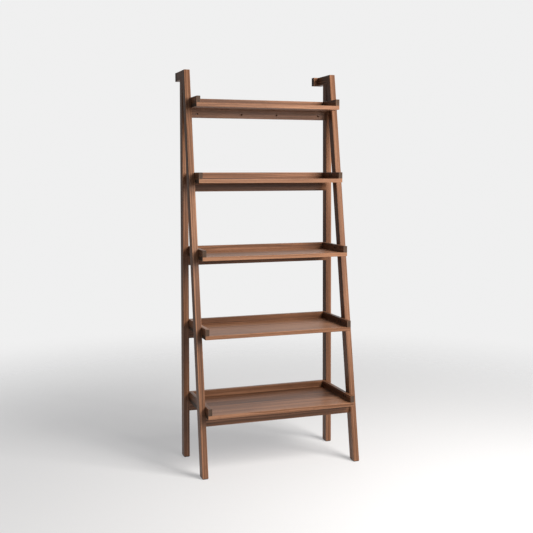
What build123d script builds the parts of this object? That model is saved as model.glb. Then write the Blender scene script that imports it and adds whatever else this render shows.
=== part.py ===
from build123d import *
import math
import os

# A tall ladder shelf in solid wood, in millimetres. Two side frames, each an upright rear post and a straight
# front leg that leans back to it, carry five trays that grow deeper towards the floor. At the top of each
# frame an arm reaches back to a block that rests on the wall.
# +Z is up, +X is to the right as one faces the shelf, and +Y points to the wall. The origin is on the floor,
# in the middle of the whole shelf's length and depth.

# Overall sizes
height = 1850.0
width = 768.0
arm_reach = 134.0            # from the posts' front faces back to the wall
foot_reach = 335.0           # from the posts' front faces forward to the toes of the front legs
shelf_overhangs = (95.0, 75.0, 75.0, 62.0, 46.0)     # top to bottom, past the front legs' front faces
top_shelf_drop = 162.0       # from the top of the frames down to the top shelf's surface
bottom_shelf_height = 284.0  # from the floor up to the bottom shelf's surface

# Timber sections
stock_width = 28.0           # posts, legs and arms, along X
stock_depth = 45.0           # posts and legs, square to their length
arm_height = 42.0
block_depth = 28.0
block_overhang = 24.0        # how far a wall block reaches inwards past its frame
board_thickness = 18.0
rail_thickness = 18.0
rail_height = 31.0           # side rails and back rails, above the board
back_rail_drop = 42.0        # back rails, below the board
front_apron_height = 44.0
front_apron_thickness = 18.0
housing_depth = 6.0          # groove in a back rail that takes the board's rear edge
edge_radius = 1.5            # hand-eased long edges
foot_chamfer = 1.2

# Glides under the feet
glide_thickness = 3.0
glide_margin = 1.0
glide_corner = 3.0
glide_pin_radius = 1.5
glide_pin_length = 12.0

# Dowels and their blind holes
frame_dowel_radius = 4.0
frame_dowel_length = 28.0
tray_dowel_radius = 3.0
tray_dowel_length = 20.0
dowel_end_gap = 1.0          # glue space at each end of a dowel
tray_dowel_margin = 25.0     # from the ends of a side rail to its outer dowels
tray_dowel_pitch = 110.0     # the most that two dowels of a side rail may be apart
post_dowel_spacing = 20.0
head_dowel_height = 30.0     # the dowel between arm and leg, above the arm's underside
block_dowel_spacing = 18.0
apron_dowel_spacing = 22.0

# Machine screws through the side rails into threaded inserts in the front legs
screw_radius = 3.0
screw_hole_radius = 3.3
screw_head_radius = 6.0
screw_head_angle = 90.0
screw_end_gap = 1.0          # from a screw's tip to the bottom of its hole
screw_spacing = 20.0
socket_radius = 2.0
socket_depth = 2.4
insert_radius = 4.5
insert_length = 13.0

# Fixing holes: four along the top back rail, one through each wall block
fixing_hole_radius = 2.5
fixing_sink_radius = 5.0
outer_fixing_spacing = 620.0
inner_fixing_spacing = 180.0
fixing_hole_drop = 24.0      # below the underside of the top board

# The front legs: their back faces run through the corners of the posts' front faces and the arms' undersides.
arm_underside = height - arm_height
lean = math.acos(stock_depth / math.hypot(foot_reach, arm_underside)) - math.atan2(arm_underside, foot_reach)
leg_cut = stock_depth / math.cos(lean)       # a leg's depth along a level cut


def leg_reach(z):
    """Distance from the posts' front faces forward to the front legs' front faces at height z."""
    return foot_reach - z * math.tan(lean)


# The shelves, top to bottom: the height of each board's top, and its depth from the posts' front faces
shelf_count = len(shelf_overhangs)
bay_pitch = (height - top_shelf_drop - bottom_shelf_height) / (shelf_count - 1)
shelf_levels = [height - top_shelf_drop - i * bay_pitch for i in range(shelf_count)]
shelf_depths = [leg_reach(z) + overhang for z, overhang in zip(shelf_levels, shelf_overhangs)]

# Planes and lines that the pieces share
overall_depth = arm_reach + max(shelf_depths[-1], leg_reach(glide_thickness))
wall_y = overall_depth / 2
post_front_y = wall_y - arm_reach
post_middle_y = post_front_y + stock_depth / 2
back_rail_middle_y = post_front_y + rail_thickness / 2
inner_x = width / 2 - stock_width
frame_middle_x = width / 2 - stock_width / 2
rail_middle_x = inner_x - rail_thickness / 2
block_front_y = wall_y - block_depth
sides = {"left": -1, "right": 1}
DOWN = (0, 0, -1)
BACK = (0, 1, 0)
FRONT = (0, -1, 0)

back_rail_height = rail_height + board_thickness + back_rail_drop
screw_length = rail_thickness + insert_length - screw_end_gap
half_dowel = frame_dowel_length / 2
half_tray_dowel = tray_dowel_length / 2


def leg_front(z):
    """Y of the front legs' front faces at height z."""
    return post_front_y - leg_reach(z)


def leg_middle(z):
    """Y of the middle of the front legs at height z."""
    return leg_front(z) + leg_cut / 2


def save(piece, name):
    piece.part.label = name
    export_step(piece.part, f"parts/{name}.step")


def screw_spots(level):
    """(y, z) of the two screws that hold one end of a tray to a front leg."""
    z = level + rail_height / 2
    return [(leg_middle(z) + d, z) for d in (-screw_spacing / 2, screw_spacing / 2)]


def back_dowel_levels(level):
    """Heights of the dowels in each end of a back rail: one above the board and one below it."""
    return [level + rail_height / 2, level - board_thickness - back_rail_drop / 2]


def tray_dowel_spots(depth):
    """Y of the dowels that join a side rail to its board."""
    first = post_front_y - tray_dowel_margin
    run = depth - 2 * tray_dowel_margin
    gaps = max(1, math.ceil(run / tray_dowel_pitch))
    return [first - run * i / gaps for i in range(gaps + 1)]


def facing(direction, x, y, z):
    """A plane at a point, looking down, to the back or to the front."""
    return Plane(origin=(x, y, z), z_dir=direction)


def toward(side, x, y, z):
    """A plane at a point of a frame's inner face, looking outwards into the frame."""
    return Plane(origin=(side * x, y, z), x_dir=(0, 1, 0), z_dir=(side, 0, 0))


front_apron_top = shelf_levels[-1] - board_thickness
front_apron_middle_z = front_apron_top - front_apron_height / 2
front_apron_middle_y = leg_middle(front_apron_middle_z)
apron_dowel_levels = [front_apron_middle_z + d for d in (-apron_dowel_spacing / 2, apron_dowel_spacing / 2)]
post_dowel_spots = [post_middle_y + d for d in (-post_dowel_spacing / 2, post_dowel_spacing / 2)]
arm_middle_z = height - arm_height / 2
block_dowel_levels = [arm_middle_z + d for d in (-block_dowel_spacing / 2, block_dowel_spacing / 2)]
head_dowel_z = arm_underside + head_dowel_height
leg_back_at_head = leg_front(head_dowel_z) + leg_cut
block_middle_x = inner_x + (stock_width - block_overhang) / 2
fixing_z = shelf_levels[0] - board_thickness - fixing_hole_drop
wall_fixing_x = inner_x - block_overhang / 2
foot_spots = [post_middle_y, leg_middle(glide_thickness)]

os.makedirs("parts", exist_ok=True)


# Rear posts: upright, from the glide to the underside of the arm
def rear_post(side):
    with BuildPart() as post:
        with BuildSketch(Plane(origin=(side * frame_middle_x, post_middle_y, glide_thickness))):
            Rectangle(stock_width, stock_depth)
        extrude(amount=arm_underside - glide_thickness)
        chamfer(post.faces().sort_by(Axis.Z)[0].edges(), foot_chamfer)
        fillet(post.edges().filter_by(Axis.Z), edge_radius)
        with Locations(facing(DOWN, side * frame_middle_x, post_middle_y, glide_thickness)):
            Hole(glide_pin_radius, glide_pin_length)
        with Locations([Location((side * frame_middle_x, y, arm_underside)) for y in post_dowel_spots]):
            Hole(frame_dowel_radius, half_dowel + dowel_end_gap)
        for level in shelf_levels:
            for z in back_dowel_levels(level):
                with Locations(toward(-side, -inner_x, back_rail_middle_y, z)):
                    Hole(frame_dowel_radius, half_dowel + dowel_end_gap)
    return post


# Front legs: one straight lean from the toe to the top of the frame, cut level at both ends
def front_leg(side):
    with BuildPart() as leg:
        with BuildSketch(Plane.YZ.offset(side * frame_middle_x)):
            with BuildLine():
                Polyline(
                    (leg_front(glide_thickness), glide_thickness),
                    (leg_front(glide_thickness) + leg_cut, glide_thickness),
                    (leg_front(height) + leg_cut, height),
                    (leg_front(height), height),
                    close=True,
                )
            make_face()
        extrude(amount=stock_width / 2, both=True)
        chamfer(leg.faces().sort_by(Axis.Z)[0].edges(), foot_chamfer)
        fillet(leg.edges().filter_by(lambda e: e.length > height / 2), edge_radius)
        with Locations(facing(DOWN, side * frame_middle_x, foot_spots[1], glide_thickness)):
            Hole(glide_pin_radius, glide_pin_length)
        with Locations(facing(BACK, side * frame_middle_x, leg_back_at_head, head_dowel_z)):
            Hole(frame_dowel_radius, half_dowel + dowel_end_gap)
        for level in shelf_levels:
            for y, z in screw_spots(level):
                with Locations(toward(-side, -inner_x, y, z)):
                    Hole(insert_radius, insert_length)
        for z in apron_dowel_levels:
            with Locations(toward(-side, -inner_x, front_apron_middle_y, z)):
                Hole(frame_dowel_radius, half_dowel + dowel_end_gap)
    return leg


# Head arms: level, on top of the posts, from the legs' sloping back faces to the wall blocks
def head_arm(side):
    with BuildPart() as arm:
        with BuildSketch(Plane.YZ.offset(side * frame_middle_x)):
            with BuildLine():
                Polyline(
                    (leg_front(arm_underside) + leg_cut, arm_underside),
                    (block_front_y, arm_underside),
                    (block_front_y, height),
                    (leg_front(height) + leg_cut, height),
                    close=True,
                )
            make_face()
        extrude(amount=stock_width / 2, both=True)
        fillet(arm.edges().filter_by(Axis.Y), edge_radius)
        with Locations(facing(FRONT, side * frame_middle_x, leg_back_at_head, head_dowel_z)):
            Hole(frame_dowel_radius, half_dowel + dowel_end_gap)
        with Locations([facing(DOWN, side * frame_middle_x, y, arm_underside)
                        for y in post_dowel_spots]):
            Hole(frame_dowel_radius, half_dowel + dowel_end_gap)
        with Locations([facing(BACK, side * frame_middle_x, block_front_y, z)
                        for z in block_dowel_levels]):
            Hole(frame_dowel_radius, half_dowel + dowel_end_gap)
    return arm


# Wall blocks: crosswise at the end of each arm, reaching inwards for a screw into the wall
def wall_block(side):
    with BuildPart() as block:
        with BuildSketch(Plane(origin=(side * block_middle_x, wall_y - block_depth / 2, arm_underside))):
            Rectangle(stock_width + block_overhang, block_depth)
        extrude(amount=arm_height)
        fillet(block.edges().filter_by(Axis.X), edge_radius)
        with Locations([facing(FRONT, side * frame_middle_x, block_front_y, z)
                        for z in block_dowel_levels]):
            Hole(frame_dowel_radius, half_dowel + dowel_end_gap)
        with Locations(facing(FRONT, side * wall_fixing_x, block_front_y, arm_middle_z)):
            CounterSinkHole(fixing_hole_radius, fixing_sink_radius)
    return block


# Boards: from the front edge to the bottom of the groove in the back rail
def shelf_board(level, depth):
    middle_y = post_front_y + (housing_depth - depth) / 2
    with BuildPart() as board:
        with BuildSketch(Plane(origin=(0, middle_y, level - board_thickness))):
            Rectangle(2 * inner_x, depth + housing_depth)
        extrude(amount=board_thickness)
        fillet(board.edges().filter_by(Axis.X).group_by(Axis.Y)[0], edge_radius)
        for side in sides.values():
            with Locations([Location((side * rail_middle_x, y, level)) for y in tray_dowel_spots(depth)]):
                Hole(tray_dowel_radius, half_tray_dowel + dowel_end_gap)
    return board


# Side rails: on the board, against the inner faces of the frame, from the back rail to the board's front edge
def side_rail(side, level, depth):
    with BuildPart() as rail:
        with BuildSketch(Plane(origin=(side * rail_middle_x, post_front_y - depth / 2, level))):
            Rectangle(rail_thickness, depth)
        extrude(amount=rail_height)
        fillet(rail.edges().filter_by(Axis.Y).group_by(Axis.Z)[-1], edge_radius)
        with Locations([facing(DOWN, side * rail_middle_x, y, level)
                        for y in tray_dowel_spots(depth)]):
            Hole(tray_dowel_radius, half_tray_dowel + dowel_end_gap)
        for y, z in screw_spots(level):
            with Locations(toward(-side, -(inner_x - rail_thickness), y, z)):
                CounterSinkHole(screw_hole_radius, screw_head_radius, counter_sink_angle=screw_head_angle)
    return rail


# Back rails: between the posts, flush with their front faces, standing above and hanging below the board
def back_rail(level, fixing_holes):
    bottom = level - board_thickness - back_rail_drop
    with BuildPart() as rail:
        with BuildSketch(Plane(origin=(0, back_rail_middle_y, bottom))):
            Rectangle(2 * inner_x, rail_thickness)
        extrude(amount=back_rail_height)
        fillet(rail.edges().filter_by(Axis.X), edge_radius)
        with BuildSketch(Plane(origin=(0, post_front_y + housing_depth / 2, level - board_thickness))):
            Rectangle(2 * inner_x, housing_depth)
        extrude(amount=board_thickness, mode=Mode.SUBTRACT)
        for side in sides.values():
            for z in back_dowel_levels(level):
                with Locations(toward(side, inner_x, back_rail_middle_y, z)):
                    Hole(frame_dowel_radius, half_dowel + dowel_end_gap)
        if fixing_holes:
            for spacing in (inner_fixing_spacing, outer_fixing_spacing):
                with Locations([facing(FRONT, side * spacing / 2, post_front_y, fixing_z)
                                for side in sides.values()]):
                    CounterSinkHole(fixing_hole_radius, fixing_sink_radius)
    return rail


for name, side in sides.items():
    save(rear_post(side), f"{name}_rear_post")
    save(front_leg(side), f"{name}_front_leg")
    save(head_arm(side), f"{name}_head_arm")
    save(wall_block(side), f"{name}_wall_block")

for number, (level, depth) in enumerate(zip(shelf_levels, shelf_depths), start=1):
    save(shelf_board(level, depth), f"shelf_board_{number}")
    save(back_rail(level, fixing_holes=number == 1), f"back_rail_{number}")
    for name, side in sides.items():
        save(side_rail(side, level, depth), f"{name}_side_rail_{number}")

# Front apron: between the front legs, under the bottom board
with BuildPart() as front_apron:
    with BuildSketch(Plane(origin=(0, front_apron_middle_y, front_apron_top - front_apron_height))):
        Rectangle(2 * inner_x, front_apron_thickness)
    extrude(amount=front_apron_height)
    fillet(front_apron.edges().filter_by(Axis.X).group_by(Axis.Z)[0], edge_radius)
    for side in sides.values():
        for z in apron_dowel_levels:
            with Locations(toward(side, inner_x, front_apron_middle_y, z)):
                Hole(frame_dowel_radius, half_dowel + dowel_end_gap)
save(front_apron, "front_apron")

# Foot glides: a thin pad under each foot, with a pin up into the end grain
with BuildPart() as foot_glides:
    for side in sides.values():
        for y in foot_spots:
            with BuildSketch(Plane(origin=(side * frame_middle_x, y, 0))):
                RectangleRounded(stock_width - 2 * glide_margin, stock_depth - 2 * glide_margin, glide_corner)
            extrude(amount=glide_thickness)
            with BuildSketch(Plane(origin=(side * frame_middle_x, y, glide_thickness))):
                Circle(glide_pin_radius)
            extrude(amount=glide_pin_length)
save(foot_glides, "foot_glides")

# Dowels of the frames' heads: post to arm, leg to arm, and arm to wall block
with BuildPart() as head_dowels:
    for side in sides.values():
        for y in post_dowel_spots:
            with BuildSketch(Plane(origin=(side * frame_middle_x, y, arm_underside))):
                Circle(frame_dowel_radius)
        for z in block_dowel_levels:
            with BuildSketch(facing(BACK, side * frame_middle_x, block_front_y, z)):
                Circle(frame_dowel_radius)
        with BuildSketch(facing(BACK, side * frame_middle_x, leg_back_at_head, head_dowel_z)):
            Circle(frame_dowel_radius)
    extrude(amount=half_dowel, both=True)
save(head_dowels, "head_dowels")

# Dowels from the back rails into the posts
with BuildPart() as back_rail_dowels:
    for side in sides.values():
        for level in shelf_levels:
            for z in back_dowel_levels(level):
                with BuildSketch(toward(side, inner_x, back_rail_middle_y, z)):
                    Circle(frame_dowel_radius)
    extrude(amount=half_dowel, both=True)
save(back_rail_dowels, "back_rail_dowels")

# Dowels from the front apron into the front legs
with BuildPart() as apron_dowels:
    for side in sides.values():
        for z in apron_dowel_levels:
            with BuildSketch(toward(side, inner_x, front_apron_middle_y, z)):
                Circle(frame_dowel_radius)
    extrude(amount=half_dowel, both=True)
save(apron_dowels, "apron_dowels")

# Dowels from the boards up into the side rails
with BuildPart() as tray_dowels:
    for side in sides.values():
        for level, depth in zip(shelf_levels, shelf_depths):
            for y in tray_dowel_spots(depth):
                with BuildSketch(Plane(origin=(side * rail_middle_x, y, level))):
                    Circle(tray_dowel_radius)
    extrude(amount=half_tray_dowel, both=True)
save(tray_dowels, "tray_dowels")

# Threaded inserts in the front legs' inner faces
with BuildPart() as leg_inserts:
    for side in sides.values():
        for level in shelf_levels:
            for y, z in screw_spots(level):
                with BuildSketch(toward(side, inner_x, y, z)):
                    Circle(insert_radius)
                    Circle(screw_radius, mode=Mode.SUBTRACT)
    extrude(amount=insert_length)
save(leg_inserts, "leg_inserts")

# Countersunk machine screws from inside the trays into the inserts, with a hexagon socket
head_height = (screw_head_radius - screw_radius) / math.tan(math.radians(screw_head_angle / 2))
with BuildPart() as tray_screws:
    for side in sides.values():
        for level in shelf_levels:
            for y, z in screw_spots(level):
                head_plane = toward(side, inner_x - rail_thickness, y, z)
                with BuildSketch(head_plane):
                    Circle(screw_head_radius)
                with BuildSketch(head_plane.offset(head_height)):
                    Circle(screw_radius)
                loft()
                with BuildSketch(head_plane.offset(head_height)):
                    Circle(screw_radius)
                extrude(amount=screw_length - head_height)
                with BuildSketch(head_plane):
                    RegularPolygon(socket_radius, 6)
                extrude(amount=socket_depth, mode=Mode.SUBTRACT)
save(tray_screws, "tray_screws")
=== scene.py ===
import math

import bmesh
import bpy
from bpy.props import FloatProperty, FloatVectorProperty, IntProperty, PointerProperty
from mathutils import Euler, Matrix, Vector


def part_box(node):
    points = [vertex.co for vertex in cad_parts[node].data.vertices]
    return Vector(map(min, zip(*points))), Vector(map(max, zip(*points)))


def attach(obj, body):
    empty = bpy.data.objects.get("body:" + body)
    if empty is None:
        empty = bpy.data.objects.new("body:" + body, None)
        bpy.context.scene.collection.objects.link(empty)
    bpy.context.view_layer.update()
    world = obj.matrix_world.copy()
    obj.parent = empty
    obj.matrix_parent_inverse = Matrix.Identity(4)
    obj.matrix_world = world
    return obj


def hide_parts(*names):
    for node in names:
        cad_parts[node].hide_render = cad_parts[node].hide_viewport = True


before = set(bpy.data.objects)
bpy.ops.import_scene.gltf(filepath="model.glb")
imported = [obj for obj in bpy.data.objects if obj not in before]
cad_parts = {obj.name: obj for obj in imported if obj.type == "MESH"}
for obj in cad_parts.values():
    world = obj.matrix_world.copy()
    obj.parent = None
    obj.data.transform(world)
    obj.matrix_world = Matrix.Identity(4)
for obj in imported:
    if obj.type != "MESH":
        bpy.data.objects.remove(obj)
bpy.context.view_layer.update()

bl_info = {
    "name": "Ladder Shelf",
    "version": (1, 0, 0),
    "blender": (4, 5, 0),
    "location": "View3D > Sidebar > Ladder Shelf",
    "description": "Builds a walnut ladder shelf with five trays, its joinery and its hardware",
    "category": "Object",
}

BODY = "root"
SIDES = ("left", "right")
SHELVES = range(1, 6)
MM = 0.001

# The log: every piece is cut from its own part of it. Like pieces take the numbers after the first cut.
FIRST_CUT = {
    "rear_post": 3, "front_leg": 7, "head_arm": 11, "wall_block": 17,
    "shelf_board": 20, "side_rail": 30, "back_rail": 50, "front_apron": 61,
}
CUT_TURN = 2.399963  # the pith's turn from one cut to the next, in radians
CUT_STEP = 1.7  # the distance along the log from one cut to the next
RING_WANDER = (0.022, 0.022, 0.0)  # how far the rings stray from round
LATE_START = 0.35  # where in a ring its late wood starts and peaks
LATE_PEAK = 0.93

# The staves of a board
FIRST_JOINT = 0.37  # where the first joint falls, in staves
STAVE_DRAWS = 11.0  # keeps the random draws of two boards apart
STAVE_JUMP = (0.16, 0.16, 1.3)  # how far apart in the log two staves may lie

# How much each pattern counts in the walnut's colour, and where each colour stands on that scale
TONE_SHARE = 0.24
STREAK_SHARE = 0.44
FIBRE_SHARE = 0.17
RING_SHARE = 0.1
STAVE_SHARE = 0.1
WALNUT_STOPS = ((0.40, "dark", 1.0), (0.47, "heart", 0.78), (0.54, "heart", 1.0), (0.65, "light", 1.0))

# The walnut's surface
PORE_LEVELS = (0.6, 0.7)  # between these a pore opens
PORE_STRENGTH = 0.5
END_FACING = (0.55, 0.85)  # how squarely a face looks along the grain before it counts as a cut end
WEAR_REACH = 2.4 * MM  # how far from an edge the wear starts
WEAR_FULL = 0.4 * MM
WEAR_PATCHES = (0.38, 0.62)
FIBRE_RELIEF = 0.45
RING_RELIEF = 0.25
PORE_RELIEF = 0.6
FIBRE_ROUGHNESS = 0.14
END_ROUGHNESS = 0.12
WEAR_POLISH = 0.08

# Hardware. Screw sizes are shares of the head's radius. Edges sharper than the angles stay sharp.
SCREW_HEAD_HEIGHT = 0.5
SCREW_SHANK_RADIUS = 0.44
SCREW_SOCKET_RADIUS = 0.34
SCREW_SOCKET_DEPTH = 0.38
METAL_SHARP = 30.0
SOFT_SHARP = 35.0

# Floor, light and camera. Places are in metres and angles in degrees.
FLOOR_FADE = (0.1, 0.4)  # where the floor's fading starts and ends, as shares of its radius
DIM_TO_BRIGHT = (-0.35, 0.3)  # how far to the right what reflections see turns bright
LIGHT_TARGET = Vector((0.0, 0.0, 1.25))
SENSOR_WIDTH = 36.0
CAMERA_SHIFT = (0.0054, -0.0996)
CAMERA_PLACE = (-1.3948, -3.9656, 1.3627)
CAMERA_YAW = 19.219
CAMERA_PITCH = -2.599
CAMERA_ROLL = -0.112

# Settings that several sliders and swatches share
LENGTH = {"unit": "LENGTH", "subtype": "DISTANCE"}
SHARE = {"min": 0.0, "max": 1.0, "subtype": "FACTOR"}
SWATCH = {"min": 0.0, "max": 1.0, "size": 3, "subtype": "COLOR"}


# Node trees

class Wire:
    """A socket of a node tree. Arithmetic on it adds Math nodes."""

    def __init__(self, graph, socket):
        self.graph = graph
        self.socket = socket

    def of(self, name):
        """Another output of the same node."""
        return Wire(self.graph, self.socket.node.outputs[name])

    def math(self, operation, other, swapped=False):
        first, second = (other, self) if swapped else (self, other)
        return self.graph.node("ShaderNodeMath", {"operation": operation}, {0: first, 1: second})

    def __add__(self, other):
        return self.math("ADD", other)

    def __radd__(self, other):
        return self.math("ADD", other, True)

    def __sub__(self, other):
        return self.math("SUBTRACT", other)

    def __rsub__(self, other):
        return self.math("SUBTRACT", other, True)

    def __mul__(self, other):
        return self.math("MULTIPLY", other)

    def __rmul__(self, other):
        return self.math("MULTIPLY", other, True)

    def __truediv__(self, other):
        return self.math("DIVIDE", other)

    def __gt__(self, other):
        return self.math("GREATER_THAN", other)

    def __lt__(self, other):
        return self.math("LESS_THAN", other)


class Graph:
    """Adds nodes to one tree."""

    def __init__(self, tree):
        self.tree = tree

    def node(self, kind, settings=None, sockets=None, out=0):
        """Adds a node and gives one of its outputs.

        Its settings come first, then the values or links of its sockets.
        """
        made = self.tree.nodes.new(kind)
        for key, value in (settings or {}).items():
            if key == "stops":
                self.set_stops(made.color_ramp, value)
            else:
                setattr(made, key, value)
        for key, value in (sockets or {}).items():
            if isinstance(value, Wire):
                self.tree.links.new(value.socket, made.inputs[key])
            else:
                made.inputs[key].default_value = value
        if made.outputs:
            return Wire(self, made.outputs[out])
        return None

    @staticmethod
    def set_stops(ramp, stops):
        while len(ramp.elements) < len(stops):
            ramp.elements.new(1.0)
        for element, (position, value) in zip(ramp.elements, stops):
            element.position = position
            element.color = value

    def blend(self, factor, first, second):
        """Mixes two colours."""
        return self.node("ShaderNodeMix", {"data_type": "RGBA"}, {0: factor, 6: first, 7: second}, out=2)

    def vector(self, operation, first, second=(0.0, 0.0, 0.0)):
        return self.node("ShaderNodeVectorMath", {"operation": operation}, {0: first, 1: second})

    def measure(self, operation, first, second=(0.0, 0.0, 0.0)):
        """A Vector Math node whose result is a number."""
        return self.node("ShaderNodeVectorMath", {"operation": operation}, {0: first, 1: second}, out=1)

    def combine(self, x, y, z):
        return self.node("ShaderNodeCombineXYZ", None, {"X": x, "Y": y, "Z": z})

    def split(self, vector):
        """The three numbers of a vector."""
        x = self.node("ShaderNodeSeparateXYZ", None, {0: vector}, out="X")
        return x, x.of("Y"), x.of("Z")

    def coordinate(self, name):
        """One of the coordinates that a finish or a background is drawn on."""
        return self.node("ShaderNodeTexCoord", out=name)

    def ease(self, value, low, high):
        """A smooth step from 0 to 1 between two values."""
        return self.node("ShaderNodeMapRange", {"interpolation_type": "SMOOTHSTEP"},
                         {"Value": value, "From Min": low, "From Max": high})

    def noise(self, vector, scale=1.0, detail=2.0, rough=0.5, out="Fac"):
        return self.node("ShaderNodeTexNoise", {"noise_dimensions": "3D"},
                         {"Vector": vector, "Scale": scale, "Detail": detail, "Roughness": rough}, out=out)

    def grain(self, vector, across, along, **look):
        """Noise whose scale along Z differs from the one across it."""
        return self.noise(self.vector("MULTIPLY", vector, (across, across, along)), **look)

    def bump(self, height, strength, distance):
        return self.node("ShaderNodeBump", None,
                         {"Strength": strength, "Distance": distance, "Height": height})


def colour(value, dim=1.0):
    return (value[0] * dim, value[1] * dim, value[2] * dim, 1.0)


def new_material(name):
    """A material with an empty tree, and the graph that fills it."""
    made = bpy.data.materials.new(name)
    made.use_nodes = True
    made.node_tree.nodes.clear()
    return made, Graph(made.node_tree)


def finish_material(graph, constants, varying):
    """Adds the shader and its output. Constants are set on the shader's own sockets."""
    shader = graph.node("ShaderNodeBsdfPrincipled", None, {**constants, **varying})
    graph.node("ShaderNodeOutputMaterial", None, {"Surface": shader})


def hardware_material(name, stretch=(1.0, 1.0, 1.0)):
    """A material for small parts: it, its graph, and the part's own coordinates, stretched."""
    made, graph = new_material(name)
    place = graph.coordinate("Object")
    return made, graph, graph.node("ShaderNodeMapping", None, {"Vector": place, "Scale": stretch})


# Finishes

GRAIN_TURN = {
    "x": Euler((0.0, math.pi / 2, 0.0)),
    "y": Euler((-math.pi / 2, 0.0, 0.0)),
    "z": Euler(),
}


def walnut(name, centre, turn, half, cut, stave=0.0, pale=0.0):
    """Oiled walnut cut from a log whose length follows the piece.

    The pattern is solid: growth rings run round a pith that lies outside the piece, so faces along the grain
    show streaks and end faces show arcs and open pores. half is the piece's half size with the grain along Z,
    and cut its place in the log. stave is the width of the glued strips in a wide board, or 0 for a piece of
    one strip. pale moves the whole piece towards the light streaks: painted light, which makes the upper
    shelf boards lighter as though they were lit more strongly.
    """
    timber = bpy.context.scene.ladder_timber
    made, graph = new_material(name)
    local = graph.node("ShaderNodeMapping", {"vector_type": "TEXTURE"},
                       {"Vector": graph.coordinate("Object"), "Location": centre, "Rotation": turn})
    angle = cut * CUT_TURN
    pith = Vector((math.cos(angle), math.sin(angle), 0.0)) * timber.pith_distance
    wood = graph.vector("ADD", local, pith + Vector((0.0, 0.0, CUT_STEP * cut)))
    strip_tone = 0.5  # halfway, for a piece of one strip
    if stave:
        across = graph.split(local)[1]
        strip = graph.node("ShaderNodeMath", {"operation": "FLOOR"}, {0: across / stave + FIRST_JOINT})
        chance = graph.node("ShaderNodeTexWhiteNoise", {"noise_dimensions": "1D"},
                            {"W": strip + STAVE_DRAWS * cut}, out="Color")
        strip_tone = chance.of("Value")
        wood = graph.vector("ADD", wood, graph.vector("MULTIPLY", chance, STAVE_JUMP))

    slow = graph.grain(wood, across=7.0, along=1.1, detail=2.0, out="Color")
    wander = graph.vector("MULTIPLY", graph.vector("SUBTRACT", slow, (0.5, 0.5, 0.5)), RING_WANDER)
    section = graph.vector("MULTIPLY", graph.vector("ADD", wood, wander), (1.0, 1.0, 0.0))
    ring = graph.node("ShaderNodeMath", {"operation": "FRACT"},
                      {0: graph.measure("LENGTH", section) / timber.ring_width})
    late = graph.ease(ring, LATE_START, LATE_PEAK) * (1.0 - graph.ease(ring, LATE_PEAK, 1.0))
    streak = graph.grain(wood, across=95.0, along=1.0, detail=3.0, rough=0.62)
    fibre = graph.grain(wood, across=620.0, along=9.0, detail=3.0, rough=0.65)
    pore = graph.ease(graph.grain(wood, across=1500.0, along=42.0, detail=1.0), *PORE_LEVELS)
    tone = graph.grain(wood, across=8.0, along=1.6, detail=1.0)

    value = TONE_SHARE * tone + STREAK_SHARE * streak + FIBRE_SHARE * fibre
    # pale adds painted light: it lifts the whole piece towards the light streaks
    value = value + RING_SHARE * (1.0 - late) + STAVE_SHARE * strip_tone + pale
    stops = [(position, colour(getattr(timber, kind), dim)) for position, kind, dim in WALNUT_STOPS]
    ramp = graph.node("ShaderNodeValToRGB", {"stops": stops}, {"Fac": value})
    pored = graph.blend(pore * PORE_STRENGTH, ramp, colour(timber.dark, 0.55))

    along = Vector((0.0, 0.0, 1.0))
    along.rotate(turn)
    facing = graph.measure("DOT_PRODUCT", graph.coordinate("Normal"), along)
    end_grain = graph.ease(graph.node("ShaderNodeMath", {"operation": "ABSOLUTE"}, {0: facing}), *END_FACING)
    sealed = graph.blend(end_grain * timber.end_darkening, pored, colour(timber.end))

    # Near an edge, two of the three distances to the piece's faces are small
    x, y, z = graph.split(graph.vector("SUBTRACT", graph.vector("ABSOLUTE", local), half))
    edge = x.math("MINIMUM", y)
    edge = edge.math("MAXIMUM", y.math("MINIMUM", z))
    edge = edge.math("MAXIMUM", x.math("MINIMUM", z))
    patchy = graph.ease(graph.noise(local, scale=22.0), *WEAR_PATCHES)
    rubbed = graph.ease(edge, -WEAR_REACH, -WEAR_FULL) * patchy
    worn = graph.blend(rubbed * timber.edge_wear, sealed, colour(timber.light, 1.15))

    relief = FIBRE_RELIEF * fibre + RING_RELIEF * (1.0 - late) - PORE_RELIEF * pore
    rough = timber.roughness + FIBRE_ROUGHNESS * (fibre - 0.5) + END_ROUGHNESS * end_grain
    rough = rough - WEAR_POLISH * rubbed
    finish_material(
        graph, {"IOR": 1.46, "Coat Weight": 0.04, "Coat Roughness": 0.4, "Specular IOR Level": 0.32},
        {"Base Color": worn, "Roughness": rough, "Normal": graph.bump(relief, 0.3, 0.25 * MM)})
    return made


def raw_beech(name):
    """Unfinished beech with short flecks."""
    tint = bpy.context.scene.ladder_joinery.dowel_colour
    made, graph, local = hardware_material(name, (60.0, 900.0, 900.0))
    fleck = graph.noise(local)
    base = graph.blend(fleck, colour(tint, 0.75), colour(tint, 1.15))
    finish_material(graph, {"IOR": 1.45}, {"Base Color": base, "Roughness": 0.62 + 0.1 * fleck,
                                           "Normal": graph.bump(fleck, 0.2, 0.1 * MM)})
    return made


def black_oxide(name):
    """Blackened steel, rubbed a little brighter in places."""
    tint = bpy.context.scene.ladder_joinery.screw_colour
    made, graph, local = hardware_material(name)
    cloud = graph.noise(local, scale=420.0, detail=3.0)
    rub = graph.ease(cloud, 0.55, 0.72)
    base = graph.blend(rub * 0.6, colour(tint), colour(tint, 3.0))
    finish_material(graph, {"Metallic": 1.0, "IOR": 2.0},
                    {"Base Color": base, "Roughness": 0.46 - 0.14 * rub,
                     "Normal": graph.bump(cloud, 0.15, 0.05 * MM)})
    return made


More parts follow.
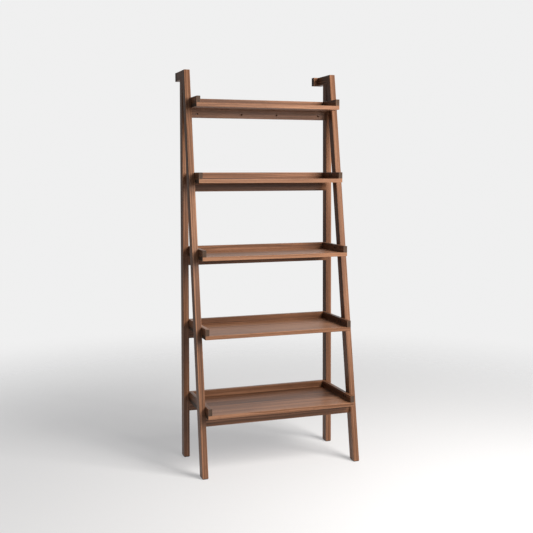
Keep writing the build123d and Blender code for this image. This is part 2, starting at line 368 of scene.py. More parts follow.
def turned_brass(name):
    """Brass with fine turning marks."""
    tint = bpy.context.scene.ladder_joinery.insert_colour
    made, graph, local = hardware_material(name, (2600.0, 120.0, 120.0))
    marks = graph.noise(local)
    base = graph.blend(marks, colour(tint, 0.8), colour(tint, 1.1))
    finish_material(graph, {"Metallic": 1.0, "IOR": 1.5},
                    {"Base Color": base, "Roughness": 0.28 + 0.12 * marks,
                     "Normal": graph.bump(marks, 0.15, 0.05 * MM)})
    return made


def moulded_black(name):
    """Black plastic with a fine moulded texture and scuffs."""
    tint = bpy.context.scene.ladder_joinery.glide_colour
    made, graph, local = hardware_material(name)
    pebble = graph.noise(local, scale=1700.0, detail=1.0)
    scuff = graph.ease(graph.noise(local, scale=160.0, detail=4.0, rough=0.7), 0.55, 0.7)
    base = graph.blend(scuff * 0.5, colour(tint), colour(tint, 3.5))
    finish_material(graph, {"IOR": 1.5}, {"Base Color": base, "Roughness": 0.5 + 0.2 * scuff,
                                          "Normal": graph.bump(pebble, 0.3, 0.08 * MM)})
    return made


# Geometry trees

def new_geometry_tree(name, inputs):
    """A Geometry Nodes tree's graph and group input.

    inputs holds each number's default, or the kind of a socket that has no default.
    """
    tree = bpy.data.node_groups.new(name, "GeometryNodeTree")
    for label, value in inputs.items():
        kind = {float: "Float", int: "Int"}.get(type(value), value)
        made = tree.interface.new_socket(label, in_out="INPUT", socket_type=f"NodeSocket{kind}")
        if kind != value:
            made.default_value = value
    tree.interface.new_socket("Geometry", in_out="OUTPUT", socket_type="NodeSocketGeometry")
    graph = Graph(tree)
    return graph, graph.node("NodeGroupInput")


def close_tree(graph, geometry, material):
    """Ends a tree in Realize Instances and Set Material."""
    real = graph.node("GeometryNodeRealizeInstances", None, {"Geometry": geometry})
    dressed = graph.node("GeometryNodeSetMaterial", None, {"Geometry": real, "Material": material})
    graph.node("NodeGroupOutput", None, {"Geometry": dressed})


def chamfered_heights(index, length, chamfer):
    """The heights of a length's four sections: both ends, and where their chamfers stop."""
    return chamfer * (index > 0.5) + (length - 2.0 * chamfer) * (index > 1.5) + chamfer * (index > 2.5)


def moved_points(graph, geometry, x, y, z):
    return graph.node("GeometryNodeSetPosition", None,
                      {"Geometry": geometry, "Position": graph.combine(x, y, z)})


def upright_path(graph, count, height):
    """A path up +Z through points at the given heights."""
    line = graph.node("GeometryNodeMeshLine", {"mode": "OFFSET"}, {"Count": count, "Offset": (0.0, 0.0, 1.0)})
    line = moved_points(graph, line, 0.0, 0.0, height)
    return graph.node("GeometryNodeMeshToCurve", None, {"Mesh": line})


def rounded_outline(graph, width, depth, radius, points):
    """A rectangle with rounded corners."""
    outline = graph.node("GeometryNodeCurvePrimitiveQuadrilateral", {"mode": "RECTANGLE"},
                         {"Width": width, "Height": depth})
    return graph.node("GeometryNodeFilletCurve", {"mode": "POLY"},
                      {"Curve": outline, "Count": points, "Radius": radius, "Limit Radius": True})


def swept(graph, path, outline, scale=1.0):
    """A solid that follows a path with one outline."""
    return graph.node("GeometryNodeCurveToMesh", None,
                      {"Curve": path, "Profile Curve": outline, "Scale": scale, "Fill Caps": True})


def batten_tree():
    """A length of planed timber with rounded long edges, eased ends and end cuts that may slope."""
    graph, group = new_geometry_tree("Batten", {
        "Length": 1.0,
        "Width": 0.03,
        "Depth": 0.045,
        "Edge Radius": 0.0015,
        "End Ease": 0.0006,
        "Start Slope": 0.0,
        "End Slope": 0.0,
        "Place": "Vector",
        "Turn": "Rotation",
        "Material": "Material",
    })
    length, width, depth = group.of("Length"), group.of("Width"), group.of("Depth")
    ease = group.of("End Ease")
    index = graph.node("GeometryNodeInputIndex")
    path = upright_path(graph, 4, chamfered_heights(index, length, ease))
    solid = swept(graph, path, rounded_outline(graph, width, depth, group.of("Edge Radius"), 4))
    x, y, z = graph.split(graph.node("GeometryNodeInputPosition"))
    margin = 0.25 * ease
    tip = (z < margin) + (z > length - margin)
    eased_x = x * (1.0 - 2.0 * tip * ease / width)
    eased_y = y * (1.0 - 2.0 * tip * ease / depth)
    near_start = z < 0.5 * length
    slope = near_start * group.of("Start Slope") + (1.0 - near_start) * group.of("End Slope")
    shaped = moved_points(graph, solid, eased_x, eased_y, z + eased_y * slope)
    placed = graph.node("GeometryNodeTransform", None,
                        {"Geometry": shaped, "Translation": group.of("Place"), "Rotation": group.of("Turn")})
    close_tree(graph, placed, group.of("Material"))


def at_places(graph, places, pattern):
    """Puts a pattern, made along +Z, at each place, with its +Z along the place's own direction."""
    heading = graph.node("GeometryNodeInputNamedAttribute", {"data_type": "FLOAT_VECTOR"},
                         {"Name": "heading"})
    turn = graph.node("FunctionNodeAlignRotationToVector", {"axis": "Z"}, {"Vector": heading})
    return graph.node("GeometryNodeInstanceOnPoints", None,
                      {"Points": places, "Instance": pattern, "Rotation": turn})


def circle(graph, points, radius):
    return graph.node("GeometryNodeCurvePrimitiveCircle", {"mode": "RADIUS"},
                      {"Resolution": points, "Radius": radius})


def cylinder(graph, sides, radius, height):
    return graph.node("GeometryNodeMeshCylinder", {"fill_type": "NGON"},
                      {"Vertices": sides, "Radius": radius, "Depth": height})


def helix(graph, radius, pitch, length, ridge):
    """A thread: a small triangle that follows a spiral up +Z."""
    spiral = graph.node("GeometryNodeCurveSpiral", None, {
        "Resolution": 16, "Rotations": length / pitch,
        "Start Radius": radius, "End Radius": radius, "Height": length})
    return swept(graph, spiral, circle(graph, points=3, radius=ridge))


def joined(graph, *pieces):
    """Joins geometries."""
    join = graph.tree.nodes.new("GeometryNodeJoinGeometry")
    for piece in reversed(pieces):
        graph.tree.links.new(piece.socket, join.inputs[0])
    return Wire(graph, join.outputs[0])


def lifted(graph, geometry, z):
    return graph.node("GeometryNodeTransform", None,
                      {"Geometry": geometry, "Translation": graph.combine(0.0, 0.0, z)})


def screw_tree():
    """Countersunk machine screws with a hexagon socket. The head's face is at the place, the tip up +Z."""
    graph, group = new_geometry_tree("Tray Screws", {
        "Geometry": "Geometry",
        "Head Radius": 0.0058,
        "Head Height": 0.003,
        "Shank Radius": 0.0026,
        "Length": 0.03,
        "Socket Radius": 0.002,
        "Socket Depth": 0.0022,
        "Thread Pitch": 0.001,
        "Material": "Material",
    })
    shank_radius, head_height = group.of("Shank Radius"), group.of("Head Height")
    head = graph.node("GeometryNodeMeshCone", {"fill_type": "NGON"}, {
        "Vertices": 40, "Radius Bottom": group.of("Head Radius"), "Radius Top": shank_radius,
        "Depth": head_height})
    hexagon = cylinder(graph, 6, group.of("Socket Radius"), 2.0 * group.of("Socket Depth"))
    drilled = graph.node("GeometryNodeMeshBoolean", {"operation": "DIFFERENCE", "solver": "EXACT"},
                         {"Mesh 1": head, "Mesh 2": hexagon})
    shank_length = group.of("Length") - head_height
    shank = cylinder(graph, sides=20, radius=shank_radius * 0.94, height=shank_length)
    shank = lifted(graph, shank, head_height + shank_length / 2.0)
    threaded = shank_length * 0.75
    ridge, tip_gap = shank_radius * 0.13, shank_radius * 0.2
    thread = helix(graph, shank_radius * 0.95, group.of("Thread Pitch"), threaded, ridge)
    thread = lifted(graph, thread, group.of("Length") - threaded - tip_gap)
    close_tree(graph, at_places(graph, group, joined(graph, drilled, shank, thread)), group.of("Material"))


def insert_tree():
    """Threaded sleeves that bite into the wood with a coarse outer thread. The mouth is at the place."""
    graph, group = new_geometry_tree("Threaded Inserts", {
        "Geometry": "Geometry",
        "Outer Radius": 0.0045,
        "Bore Radius": 0.003,
        "Length": 0.013,
        "Thread Pitch": 0.0025,
        "Material": "Material",
    })
    outer, bore, length = group.of("Outer Radius"), group.of("Bore Radius"), group.of("Length")
    core, ridge = outer * 0.9, outer * 0.09
    threaded, margin = length * 0.84, length * 0.08
    loop = circle(graph, points=24, radius=(core + bore) / 2.0)
    wall = graph.node("GeometryNodeCurvePrimitiveQuadrilateral", {"mode": "RECTANGLE"},
                      {"Width": core - bore, "Height": length})
    sleeve = graph.node("GeometryNodeCurveToMesh", None, {"Curve": loop, "Profile Curve": wall})
    sleeve = lifted(graph, sleeve, length / 2.0)
    thread = helix(graph, core * 0.99, group.of("Thread Pitch"), threaded, ridge)
    thread = lifted(graph, thread, margin)
    close_tree(graph, at_places(graph, group, joined(graph, sleeve, thread)), group.of("Material"))


def dowel_tree():
    """Fluted dowels with chamfered ends, centred on their places."""
    graph, group = new_geometry_tree("Fluted Dowels", {
        "Geometry": "Geometry",
        "Radius": 0.004,
        "Length": 0.028,
        "Flutes": 14,
        "Material": "Material",
    })
    length, radius = group.of("Length"), group.of("Radius")
    chamfer, flute_floor, narrowing = radius * 0.25, radius * 0.92, 0.2
    index = graph.node("GeometryNodeInputIndex")
    height = chamfered_heights(index, length, chamfer) - length / 2.0
    path = upright_path(graph, 4, height)
    flutes = graph.node("GeometryNodeCurveStar", None, {
        "Points": group.of("Flutes"), "Inner Radius": flute_floor, "Outer Radius": radius})
    tip = (index < 0.5) + (index > 2.5)
    solid = swept(graph, path, flutes, scale=1.0 - narrowing * tip)
    close_tree(graph, at_places(graph, group, solid), group.of("Material"))


def glide_tree():
    """Moulded pads whose sides roll inwards underneath, each with a ribbed pin. The floor is at the place."""
    graph, group = new_geometry_tree("Foot Glides", {
        "Geometry": "Geometry",
        "Width": 0.026,
        "Depth": 0.043,
        "Thickness": 0.003,
        "Corner Radius": 0.003,
        "Pin Radius": 0.0015,
        "Pin Length": 0.012,
        "Material": "Material",
    })
    width, depth, thickness = group.of("Width"), group.of("Depth"), group.of("Thickness")
    pin_radius, pin_length = group.of("Pin Radius"), group.of("Pin Length")
    levels = 6
    roll = 0.16  # how far the bottom edge rolls inwards, in thicknesses
    index = graph.node("GeometryNodeInputIndex")
    path = upright_path(graph, levels, thickness * index / (levels - 1.0))
    pad = swept(graph, path, rounded_outline(graph, width, depth, group.of("Corner Radius"), 6))
    x, y, z = graph.split(graph.node("GeometryNodeInputPosition"))
    below = 1.0 - z / thickness
    pull = roll * below * below * below * thickness * 2.0
    pad = moved_points(graph, pad, x * (1.0 - pull / width), y * (1.0 - pull / depth), z)
    core, ridge = pin_radius * 0.9, pin_radius * 0.1
    rib_pitch, ribbed, margin = pin_length / 6.0, pin_length * 0.8, pin_length * 0.08
    pin = cylinder(graph, sides=16, radius=core, height=pin_length)
    pin = lifted(graph, pin, thickness + pin_length / 2.0)
    ribs = lifted(graph, helix(graph, core, rib_pitch, ribbed, ridge), thickness + margin)
    close_tree(graph, at_places(graph, group, joined(graph, pad, pin, ribs)), group.of("Material"))


# Pieces

def set_inputs(modifier, tree, values):
    """Sets a modifier's inputs by their sockets' identifiers."""
    modifier.node_group = tree
    for item in tree.interface.items_tree:
        if item.item_type == "SOCKET" and item.in_out == "INPUT" and item.name in values:
            modifier[item.identifier] = values[item.name]


def grown(name, tree, values, places=None, weighted=False):
    """Runs a tree and keeps its result as a plain mesh."""
    mesh = bpy.data.meshes.new(name)
    if places:
        mesh.from_pydata([spot for spot, heading in places], [], [])
        heads = mesh.attributes.new("heading", "FLOAT_VECTOR", "POINT")
        for item, (spot, heading) in zip(heads.data, places):
            item.vector = heading
    made = bpy.data.objects.new(name, mesh)
    bpy.context.scene.collection.objects.link(made)
    set_inputs(made.modifiers.new("Shape", "NODES"), tree, values)
    if weighted:
        weigh = made.modifiers.new("Flat Faces", "WEIGHTED_NORMAL")
        weigh.keep_sharp = True
    bpy.context.view_layer.update()
    evaluated = made.evaluated_get(bpy.context.evaluated_depsgraph_get())
    result = bpy.data.meshes.new_from_object(evaluated, preserve_all_data_layers=True,
                                             depsgraph=bpy.context.evaluated_depsgraph_get())
    made.modifiers.clear()
    made.data = result
    result.name = name
    bpy.data.meshes.remove(mesh)
    if not result.polygons:
        raise RuntimeError(f"{name} came out empty")
    return made


def keep(piece, nodes):
    """Puts a finished piece on the shelf in place of its CAD nodes."""
    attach(piece, BODY)
    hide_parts(*nodes)


def middle_and_half(node):
    low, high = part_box(node)
    return (low + high) / 2.0, (high - low) / 2.0


def turned_half(half, grain):
    """A half size with its grain side last, as the finish wants it."""
    return {"x": Vector((half.z, half.y, half.x)), "y": Vector((half.x, half.z, half.y)), "z": half}[grain]


def batten(node, values):
    """Replaces a CAD piece with a length of timber."""
    timber = bpy.context.scene.ladder_timber
    values = {"Edge Radius": timber.edge_radius, "End Ease": timber.end_ease, **values}
    piece = grown(node.title(), bpy.data.node_groups["Batten"], values, weighted=True)
    keep(piece, [node])


def hardware(node, tree, values, places, sharp):
    """Replaces a CAD node's small parts with a tree's pattern, one at each place."""
    piece = grown(node.title(), bpy.data.node_groups[tree], values, places)
    piece.data.shade_smooth()
    piece.data.set_sharp_from_angle(angle=math.radians(sharp))
    keep(piece, [node])


def straight_batten(node, grain, cut, stave=0.0, pale=0.0):
    """Replaces a square-ended CAD piece with a batten."""
    centre, half = middle_and_half(node)
    turn = GRAIN_TURN[grain]
    section = turned_half(half, grain)
    finish = walnut(f"walnut {node}", centre, turn, section, cut, stave, pale)
    start = Vector((0.0, 0.0, -section.z))
    start.rotate(turn)
    batten(node, {"Length": 2.0 * section.z, "Width": 2.0 * section.x, "Depth": 2.0 * section.y,
                  "Place": centre + start, "Turn": turn, "Material": finish})


def dress(node, grain, cut):
    """Gives a CAD piece its own cut of walnut."""
    centre, half = middle_and_half(node)
    finish = walnut(f"walnut {node}", centre, GRAIN_TURN[grain], turned_half(half, grain), cut)
    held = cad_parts[node]
    held.data.materials.clear()
    held.data.materials.append(finish)


def solids(node):
    """The lowest and highest corners of each separate solid of a CAD node."""
    copy = bmesh.new()
    copy.from_mesh(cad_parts[node].data)
    bmesh.ops.remove_doubles(copy, verts=copy.verts, dist=1e-6)
    left = set(copy.verts)
    found = []
    while left:
        queue = [left.pop()]
        low, high = queue[0].co.copy(), queue[0].co.copy()
        while queue:
            vert = queue.pop()
            low = Vector(map(min, low, vert.co))
            high = Vector(map(max, high, vert.co))
            for edge in vert.link_edges:
                other = edge.other_vert(vert)
                if other in left:
                    left.remove(other)
                    queue.append(other)
        found.append((low, high))
    copy.free()
    return sorted(found, key=lambda corners: tuple(round(v, 5) for v in corners[0]))


def outward_place(low, high):
    """The middle of a solid's inner face, and the direction from there to the shelf's nearer side."""
    heading = Vector((math.copysign(1.0, low.x + high.x), 0.0, 0.0))
    middle = (low + high) / 2.0
    return Vector((low.x if heading.x > 0.0 else high.x, middle.y, middle.z)), heading


# Sizes and colours

class LadderTimber(bpy.types.PropertyGroup):
    """The walnut pieces."""

    edge_radius: FloatProperty(
        name="Edge Radius", description="Rounding of the long edges", default=1.5 * MM, min=0.0, **LENGTH)
    end_ease: FloatProperty(
        name="End Ease", description="Small chamfer round the cut ends", default=0.5 * MM, min=0.0, **LENGTH)
    stave_width: FloatProperty(
        name="Stave Width", description="Width of the glued strips in a shelf board",
        default=82 * MM, min=0.01, **LENGTH)
    ring_width: FloatProperty(
        name="Ring Width", description="Spacing of the growth rings", default=5.2 * MM, min=0.001, **LENGTH)
    pith_distance: FloatProperty(
        name="Pith Distance", description="How far the heart of the log lies from a piece",
        default=0.13, min=0.0, **LENGTH)
    roughness: FloatProperty(
        name="Roughness", description="Dullness of the oiled surface", default=0.42, **SHARE)
    end_darkening: FloatProperty(
        name="End Darkening", description="How much darker the cut ends soak up oil", default=0.9, **SHARE)
    edge_wear: FloatProperty(
        name="Edge Wear", description="How much the edges are rubbed lighter", default=0.4, **SHARE)
    # Painted light: the upper boards are painted paler, as if lit more strongly than the lower ones
    board_paleness: FloatProperty(
        name="Board Painted Light", description="How much paler the top board is than the bottom one",
        default=0.07, min=0.0, max=0.3)
    dark: FloatVectorProperty(
        name="Dark Streaks", description="Colour of the darkest streaks",
        default=(0.042, 0.018, 0.0095), **SWATCH)
    heart: FloatVectorProperty(
        name="Heartwood", description="Main colour of the walnut", default=(0.136, 0.058, 0.0275), **SWATCH)
    light: FloatVectorProperty(
        name="Light Streaks", description="Colour of the lightest streaks",
        default=(0.275, 0.134, 0.073), **SWATCH)
    end: FloatVectorProperty(
        name="End Grain", description="Colour of the cut ends", default=(0.042, 0.027, 0.018), **SWATCH)


class LadderJoinery(bpy.types.PropertyGroup):
    """Dowels, screws, inserts and glides."""

    flutes: IntProperty(name="Flutes", description="Grooves round a dowel", default=14, min=6, max=40)
    head_gap: FloatProperty(
        name="Head Gap", description="How far a screw head sits below the rail's face",
        default=0.3 * MM, min=0.0, **LENGTH)
    screw_pitch: FloatProperty(
        name="Screw Pitch", description="Pitch of the machine thread", default=1.0 * MM, min=0.0002, **LENGTH)
    insert_pitch: FloatProperty(
        name="Insert Pitch", description="Pitch of the inserts' outer thread",
        default=2.5 * MM, min=0.0005, **LENGTH)
    dowel_colour: FloatVectorProperty(
        name="Dowel Colour", description="Raw beech", default=(0.56, 0.37, 0.21), **SWATCH)
    screw_colour: FloatVectorProperty(
        name="Screw Colour", description="Black oxide on steel", default=(0.03, 0.03, 0.032), **SWATCH)
    insert_colour: FloatVectorProperty(
        name="Insert Colour", description="Brass", default=(0.72, 0.49, 0.2), **SWATCH)
    glide_colour: FloatVectorProperty(
        name="Glide Colour", description="Black plastic", default=(0.014, 0.013, 0.013), **SWATCH)


class LadderStage(bpy.types.PropertyGroup):
    """Floor, lights and camera."""

    floor_radius: FloatProperty(
        name="Floor Radius", description="Radius of the floor, which fades out well inside it",
        default=9.0, min=1.0, **LENGTH)
    floor_colour: FloatVectorProperty(
        name="Floor Colour", description="Pale floor", default=(0.46, 0.46, 0.465), **SWATCH)
    floor_glow: FloatProperty(
        name="Floor Glow", description="Light of the floor itself, which lifts its shadows",
        default=0.74, min=0.0, max=2.0)
    backdrop: FloatProperty(
        name="Backdrop", description="Brightness of the empty background", default=0.87, min=0.0, max=2.0)
    ambient: FloatProperty(
        name="Ambient", description="Brightness of the light from all round", default=0.2, min=0.0, max=2.0)
    key_power: FloatProperty(
        name="Key Power", description="Power of the main soft light", default=154.0, min=0.0, unit="POWER")
    front_power: FloatProperty(
        name="Front Power", description="Power of the soft light in front",
        default=55.0, min=0.0, unit="POWER")
    lens: FloatProperty(
        name="Lens", description="Focal length of the camera in millimetres",
        default=59.386, min=10.0, max=300.0)


# Operators

class LADDER_OT_rear_posts(bpy.types.Operator):
    """Build the two upright rear posts"""
    bl_idname = "ladder.rear_posts"
    bl_label = "Rear Posts"

    def execute(self, context):
        for number, side in enumerate(SIDES):
            straight_batten(f"{side}_rear_post", "z", FIRST_CUT["rear_post"] + number)
        return {"FINISHED"}


class LADDER_OT_front_legs(bpy.types.Operator):
    """Build the two front legs, which lean back and are cut level at both ends"""
    bl_idname = "ladder.front_legs"
    bl_label = "Front Legs"

    def execute(self, context):
        _, post_half = middle_and_half("left_rear_post")
        depth = 2.0 * post_half.y
        for number, side in enumerate(SIDES):
            node = f"{side}_front_leg"
            low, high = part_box(node)
            width, run, rise = high - low
            lean = math.acos(depth / math.hypot(run, rise)) - math.atan2(rise, run)
            turn = Euler((-lean, 0.0, 0.0))
            along = Vector((0.0, math.sin(lean), math.cos(lean)))
            length = rise / math.cos(lean)
            centre = (low + high) / 2.0
            half = Vector((width / 2.0, depth / 2.0, length / 2.0))
            finish = walnut(f"walnut {node}", centre, turn, half, FIRST_CUT["front_leg"] + number)
            slope = math.tan(lean)
            batten(node, {"Length": length, "Width": width, "Depth": depth,
                          "Start Slope": slope, "End Slope": slope,
                          "Place": centre - along * length / 2.0, "Turn": turn, "Material": finish})
        return {"FINISHED"}


class LADDER_OT_head_arms(bpy.types.Operator):
    """Build the two arms, whose front ends follow the legs' backs"""
    bl_idname = "ladder.head_arms"
    bl_label = "Head Arms"

    def execute(self, context):
        timber = context.scene.ladder_timber
        _, leg_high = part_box("left_front_leg")
        turn = GRAIN_TURN["y"]
        for number, side in enumerate(SIDES):
            node = f"{side}_head_arm"
            low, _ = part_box(node)
            centre, half = middle_and_half(node)
            cut = FIRST_CUT["head_arm"] + number
            finish = walnut(f"walnut {node}", centre, turn, turned_half(half, "y"), cut)
            step = leg_high.y - low.y
            batten(node, {"Length": 2.0 * half.y - step / 2.0, "Width": 2.0 * half.x, "Depth": 2.0 * half.z,
                          "End Ease": timber.end_ease * 0.4, "Start Slope": -step / (2.0 * half.z),
                          "Place": Vector((centre.x, low.y + step / 2.0, centre.z)), "Turn": turn,
                          "Material": finish})
        return {"FINISHED"}


class LADDER_OT_wall_blocks(bpy.types.Operator):
    """Finish the two wall blocks"""
    bl_idname = "ladder.wall_blocks"
    bl_label = "Wall Blocks"

    def execute(self, context):
        for number, side in enumerate(SIDES):
            dress(f"{side}_wall_block", "x", FIRST_CUT["wall_block"] + number)
        return {"FINISHED"}


class LADDER_OT_shelf_boards(bpy.types.Operator):
    """Build the five shelf boards from glued staves"""
    bl_idname = "ladder.shelf_boards"
    bl_label = "Shelf Boards"

    def execute(self, context):
        timber = context.scene.ladder_timber
        for number in SHELVES:
            # Painted light: the boards are painted paler the higher they stand, as if lit more strongly up
            # top
            pale = timber.board_paleness * (SHELVES[-1] - number) / (SHELVES[-1] - SHELVES[0])
            cut = FIRST_CUT["shelf_board"] + number
            straight_batten(f"shelf_board_{number}", "x", cut, timber.stave_width, pale)
        return {"FINISHED"}


class LADDER_OT_side_rails(bpy.types.Operator):
    """Finish the ten side rails"""
    bl_idname = "ladder.side_rails"
    bl_label = "Side Rails"

    def execute(self, context):
        for number in SHELVES:
            for offset, side in enumerate(SIDES):
                cut = FIRST_CUT["side_rail"] + len(SIDES) * number + offset
                dress(f"{side}_side_rail_{number}", "y", cut)
        return {"FINISHED"}


class LADDER_OT_back_rails(bpy.types.Operator):
    """Finish the five back rails"""
    bl_idname = "ladder.back_rails"
    bl_label = "Back Rails"

    def execute(self, context):
        for number in SHELVES:
            dress(f"back_rail_{number}", "x", FIRST_CUT["back_rail"] + number)
        return {"FINISHED"}


class LADDER_OT_front_apron(bpy.types.Operator):
    """Build the apron under the bottom board"""
    bl_idname = "ladder.front_apron"
    bl_label = "Front Apron"

    def execute(self, context):
        straight_batten("front_apron", "x", FIRST_CUT["front_apron"])
        return {"FINISHED"}


class LADDER_OT_dowels(bpy.types.Operator):
    """Build the dowels of the frames, back rails, apron and trays"""
    bl_idname = "ladder.dowels"
    bl_label = "Dowels"

    def execute(self, context):
        finish = raw_beech("raw beech")
        for node in ("head_dowels", "back_rail_dowels", "apron_dowels", "tray_dowels"):
            boxes = solids(node)
            places = []
            for low, high in boxes:
                size = high - low
                heading = Vector((0.0, 0.0, 0.0))
                heading[max(range(3), key=lambda axis: size[axis])] = 1.0
                places.append(((low + high) / 2.0, heading))
            size = boxes[0][1] - boxes[0][0]
            hardware(node, "Fluted Dowels", {
                "Radius": min(size) / 2.0, "Length": max(size),
                "Flutes": context.scene.ladder_joinery.flutes, "Material": finish,
            }, places, SOFT_SHARP)
        return {"FINISHED"}


class LADDER_OT_tray_screws(bpy.types.Operator):
    """Build the screws that hold the trays to the front legs"""
    bl_idname = "ladder.tray_screws"
    bl_label = "Tray Screws"

    def execute(self, context):
        joinery = context.scene.ladder_joinery
        boxes = solids("tray_screws")
        places = []
        for low, high in boxes:
            place, heading = outward_place(low, high)
            places.append((place + heading * joinery.head_gap, heading))
        size = boxes[0][1] - boxes[0][0]
        head = size.z / 2.0
        hardware("tray_screws", "Tray Screws", {
            "Head Radius": head - joinery.head_gap, "Head Height": head * SCREW_HEAD_HEIGHT,
            "Shank Radius": head * SCREW_SHANK_RADIUS, "Length": size.x - joinery.head_gap,
            "Socket Radius": head * SCREW_SOCKET_RADIUS, "Socket Depth": head * SCREW_SOCKET_DEPTH,
            "Thread Pitch": joinery.screw_pitch, "Material": black_oxide("black oxide"),
        }, places, METAL_SHARP)
        return {"FINISHED"}


class LADDER_OT_leg_inserts(bpy.types.Operator):
    """Build the threaded inserts in the front legs"""
    bl_idname = "ladder.leg_inserts"
    bl_label = "Leg Inserts"

    def execute(self, context):
        joinery = context.scene.ladder_joinery
        boxes = solids("leg_inserts")
        places = [outward_place(*box) for box in boxes]
        size = boxes[0][1] - boxes[0][0]
        hardware("leg_inserts", "Threaded Inserts", {
            "Outer Radius": size.z / 2.0, "Bore Radius": size.z / 3.0, "Length": size.x,
            "Thread Pitch": joinery.insert_pitch, "Material": turned_brass("turned brass"),
        }, places, METAL_SHARP)
        return {"FINISHED"}


class LADDER_OT_foot_glides(bpy.types.Operator):
    """Build the glides under the four feet"""
    bl_idname = "ladder.foot_glides"
    bl_label = "Foot Glides"

    def execute(self, context):
        boxes = solids("foot_glides")
        post_low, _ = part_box("left_rear_post")
        thickness = post_low.z
        places = [(Vector(((low.x + high.x) / 2.0, (low.y + high.y) / 2.0, 0.0)), Vector((0.0, 0.0, 1.0)))
                  for low, high in boxes]
        size = boxes[0][1] - boxes[0][0]
        hardware("foot_glides", "Foot Glides", {
            "Width": size.x, "Depth": size.y, "Thickness": thickness, "Corner Radius": thickness,
            "Pin Radius": thickness / 2.0, "Pin Length": size.z - thickness,
            "Material": moulded_black("moulded black"),
        }, places, SOFT_SHARP)
        return {"FINISHED"}


class LADDER_OT_stage(bpy.types.Operator):
    """Set the floor, the lights and the camera"""
    bl_idname = "ladder.stage"
    bl_label = "Stage"

    def execute(self, context):
        stage = context.scene.ladder_stage
        self.floor(context, stage)
        self.surroundings(context, stage)
        self.soft_light(context, "Key Light", place=(1.4, -2.05, 2.4), size=(1.4, 1.8),
                        power=stage.key_power, tint=(1.0, 0.97, 0.93), seen=False)
        self.soft_light(context, "Front Light", place=(1.3, -3.9, 2.0), size=(1.5, 1.2),
                        power=stage.front_power, tint=(1.0, 0.98, 0.96), seen=True)
        self.camera(context, stage)
        return {"FINISHED"}

    def floor(self, context, stage):
        """A pale disc that fades out before its rim."""
        plate = bmesh.new()
        bmesh.ops.create_circle(plate, cap_ends=True, radius=stage.floor_radius, segments=96)
        mesh = bpy.data.meshes.new("Floor")
        plate.to_mesh(mesh)
        plate.free()
        made, graph = new_material("pale floor")
        place = graph.coordinate("Object")
        far = graph.measure("LENGTH", place)
        speck = graph.noise(place, scale=35.0, detail=3.0)
        base = graph.blend(speck, colour(stage.floor_colour, 0.985), colour(stage.floor_colour, 1.015))
        surface = graph.node("ShaderNodeBsdfPrincipled", None, {
            "Base Color": base, "Roughness": 0.7 + 0.1 * speck,
            "Emission Color": colour(stage.floor_colour), "Emission Strength": stage.floor_glow})
        clear = graph.node("ShaderNodeBsdfTransparent")
        fade = graph.ease(far, *(stage.floor_radius * share for share in FLOOR_FADE))
        mixed = graph.node("ShaderNodeMixShader", None, {0: fade, 1: surface, 2: clear})
        graph.node("ShaderNodeOutputMaterial", None, {"Surface": mixed})
        mesh.materials.append(made)
        floor = bpy.data.objects.new("Floor", mesh)
        context.scene.collection.objects.link(floor)

    def surroundings(self, context, stage):
        """A bright empty background over a dimmer light from all round.

        Reflections see the bright background on the right and only the dimmer light on the left.
        """
        world = bpy.data.worlds.new("Studio")
        world.use_nodes = True
        world.node_tree.nodes.clear()
        graph = Graph(world.node_tree)
        across, _, _ = graph.split(graph.coordinate("Generated"))
        ray = graph.node("ShaderNodeLightPath", out="Is Camera Ray")
        seen = ray.math("MAXIMUM", ray.of("Is Glossy Ray") * graph.ease(across, *DIM_TO_BRIGHT))
        strength = stage.ambient + seen * (stage.backdrop - stage.ambient)
        back = graph.node("ShaderNodeBackground", None, {"Color": (1.0, 1.0, 1.0, 1.0), "Strength": strength})
        graph.node("ShaderNodeOutputWorld", None, {"Surface": back})
        context.scene.world = world
        context.scene.view_settings.view_transform = "Standard"

    def soft_light(self, context, name, place, size, power, tint, seen):
        """A rectangular light that faces the shelf. seen says whether reflections show it."""
        data = bpy.data.lights.new(name, "AREA")
        data.shape = "RECTANGLE"
        data.size, data.size_y = size
        data.energy = power
        data.color = tint
        made = bpy.data.objects.new(name, data)
        made.location = place
        made.visible_glossy = seen
        made.rotation_euler = (LIGHT_TARGET - Vector(place)).to_track_quat("-Z", "Y").to_euler()
        context.scene.collection.objects.link(made)

    def camera(self, context, stage):
        data = bpy.data.cameras.new("Camera")
        data.sensor_width = SENSOR_WIDTH
        data.lens = stage.lens
        data.shift_x, data.shift_y = CAMERA_SHIFT
        made = bpy.data.objects.new("Camera", data)
        yaw, pitch, roll = map(math.radians, (CAMERA_YAW, CAMERA_PITCH, CAMERA_ROLL))
        forward = Vector((math.sin(yaw) * math.cos(pitch), math.cos(yaw) * math.cos(pitch), math.sin(pitch)))
        right = Vector((math.cos(yaw), -math.sin(yaw), 0.0))
        up = right.cross(forward)
        turned_right = right * math.cos(roll) + up * math.sin(roll)
        turned_up = up * math.cos(roll) - right * math.sin(roll)
        basis = Matrix((turned_right, turned_up, -forward)).transposed()
        made.matrix_world = Matrix.Translation(CAMERA_PLACE) @ basis.to_4x4()
        context.scene.collection.objects.link(made)
        context.scene.camera = made


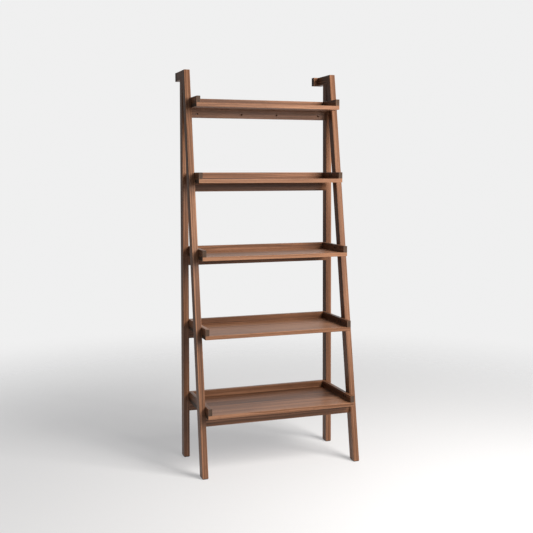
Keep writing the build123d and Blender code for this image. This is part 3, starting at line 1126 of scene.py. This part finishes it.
class LADDER_PT_panel(bpy.types.Panel):
    """Lists the shelf's pieces and its stage"""
    bl_idname = "LADDER_PT_panel"
    bl_label = "Ladder Shelf"
    bl_space_type = "VIEW_3D"
    bl_region_type = "UI"
    bl_category = "Ladder Shelf"

    def draw(self, context):
        layout = self.layout
        for title, group, operators in PANEL_SECTIONS:
            box = layout.box()
            box.label(text=title)
            settings = getattr(context.scene, group)
            for name in settings.__annotations__:
                box.prop(settings, name)
            for operator in operators:
                box.operator(operator.bl_idname)


TIMBER_OPERATORS = (
    LADDER_OT_rear_posts, LADDER_OT_front_legs, LADDER_OT_head_arms, LADDER_OT_wall_blocks,
    LADDER_OT_shelf_boards, LADDER_OT_side_rails, LADDER_OT_back_rails, LADDER_OT_front_apron,
)
JOINERY_OPERATORS = (LADDER_OT_dowels, LADDER_OT_tray_screws, LADDER_OT_leg_inserts, LADDER_OT_foot_glides)
STAGE_OPERATORS = (LADDER_OT_stage,)
PANEL_SECTIONS = (
    ("Timber", "ladder_timber", TIMBER_OPERATORS),
    ("Joinery", "ladder_joinery", JOINERY_OPERATORS),
    ("Stage", "ladder_stage", STAGE_OPERATORS),
)
GROUPS = {"ladder_timber": LadderTimber, "ladder_joinery": LadderJoinery, "ladder_stage": LadderStage}
CLASSES = (*GROUPS.values(), *TIMBER_OPERATORS, *JOINERY_OPERATORS, *STAGE_OPERATORS, LADDER_PT_panel)


def register():
    for item in CLASSES:
        bpy.utils.register_class(item)
    for name, group in GROUPS.items():
        setattr(bpy.types.Scene, name, PointerProperty(type=group))


def unregister():
    for name in GROUPS:
        delattr(bpy.types.Scene, name)
    for item in reversed(CLASSES):
        bpy.utils.unregister_class(item)


def main():
    """Builds the shelf piece by piece."""
    register()
    for build in (batten_tree, dowel_tree, screw_tree, insert_tree, glide_tree):
        build()
    for item in (*STAGE_OPERATORS, *TIMBER_OPERATORS, *JOINERY_OPERATORS):
        group, name = item.bl_idname.split(".")
        getattr(getattr(bpy.ops, group), name)()


if __name__ == "__main__":
    main()
